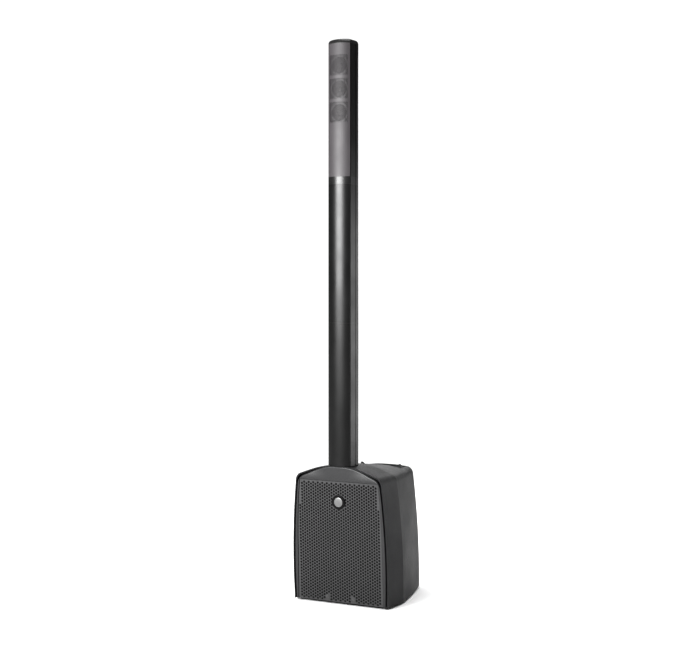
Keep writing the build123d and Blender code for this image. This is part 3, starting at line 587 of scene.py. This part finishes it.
# ---- Camera, light and stage -----------------------------------------------------------
def make_camera():
    """Eye height 1.154 m, 5.24 m away, 29 degrees to the front's right, level."""
    azimuth, distance, height, sideways = radians(29), 5.244, 1.1537, 0.0221
    data = bpy.data.cameras.new("camera")
    data.sensor_width, data.lens = 36.0, 75.6
    data.shift_y = -0.0636
    camera = bpy.data.objects.new("camera", data)
    x = distance * sin(azimuth) + sideways * cos(azimuth)
    y = COLUMN_Y - distance * cos(azimuth) + sideways * sin(azimuth)
    camera.location = (x, y, height)
    camera.rotation_euler = Euler((pi / 2, 0, azimuth))
    bpy.context.collection.objects.link(camera)
    bpy.context.scene.camera = camera


def softbox(name, azimuth, distance, height, size, power, spread=180):
    """A soft light at an azimuth round the column, facing it, with its light kept within a cone."""
    data = bpy.data.lights.new(name, "AREA")
    data.shape = "RECTANGLE"
    data.size, data.size_y = size
    data.energy, data.spread = power, radians(spread)
    light = bpy.data.objects.new(name, data)
    a = radians(azimuth)
    light.location = (distance * sin(a), COLUMN_Y - distance * cos(a), height)
    aim = Vector((0, COLUMN_Y, height)) - light.location
    light.rotation_euler = aim.to_track_quat("-Z", "Y").to_euler()
    bpy.context.collection.objects.link(light)


def make_stage():
    """A white floor and backdrop, and the soft lights of a studio."""
    far = 15
    corners = [(-far, -far, 0), (far, -far, 0), (far, far, 0), (-far, far, 0)]
    floor = mesh_object("floor", corners, [(0, 1, 2, 3)])
    material, shader = new_material("pale_floor", (0.9, 0.9, 0.9), 0.9)
    tint(material, shader, (0.88, 0.88, 0.88), noise(material, 3.0, detail=3.0), 0.01)
    shader.inputs["Specular IOR Level"].default_value = 0.0
    floor.data.materials.append(material)

    world = bpy.data.worlds.new("studio")
    world.use_nodes = True
    nodes, links = world.node_tree.nodes, world.node_tree.links
    room = nodes["Background"]
    room.inputs["Color"].default_value = (1, 1, 1, 1)
    room.inputs["Strength"].default_value = ROOM_LIGHT
    backdrop = nodes.new("ShaderNodeBackground")
    backdrop.inputs["Color"].default_value = (1, 1, 1, 1)
    backdrop.inputs["Strength"].default_value = 1.05
    path, mix = nodes.new("ShaderNodeLightPath"), nodes.new("ShaderNodeMixShader")
    links.new(path.outputs["Is Camera Ray"], mix.inputs[0])
    links.new(room.outputs[0], mix.inputs[1])
    links.new(backdrop.outputs[0], mix.inputs[2])
    links.new(mix.outputs[0], nodes["World Output"].inputs["Surface"])
    bpy.context.scene.world = world
    bpy.context.scene.view_settings.view_transform = "Standard"
    bpy.context.scene.view_settings.gamma = 0.8

    data = bpy.data.lights.new("ceiling", "SUN")
    data.energy, data.angle = 3.4, radians(50)
    ceiling = bpy.data.objects.new("ceiling", data)
    ceiling.location = (0, 0, 4)
    bpy.context.collection.objects.link(ceiling)
    softbox("key", -19, 3.0, 1.64, (1.9, 1.0), 130, 130)
    softbox("rear_side", 150, 3.0, 0.9, (1.0, 1.4), 17)
    softbox("rear_wall", 195, 3.2, 1.7, (2.6, 1.4), 36)
    softbox("rear_fill", 232, 3.4, 1.2, (2.0, 2.2), 34)


make_camera()
materials = make_materials()
finish_nodes(materials)
base_grille(materials)
grille_foam(materials)
front_frame(materials)
badge(materials)
rear_lining(materials, "rear_top_lining", edge_z=0.461, end_drop=0.0045, up=1)
rear_lining(materials, "rear_bottom_lining", edge_z=FOOT_HEIGHT, end_drop=0.0, up=-1)
knob_scales(materials)
satellite_front(materials)
make_stage()
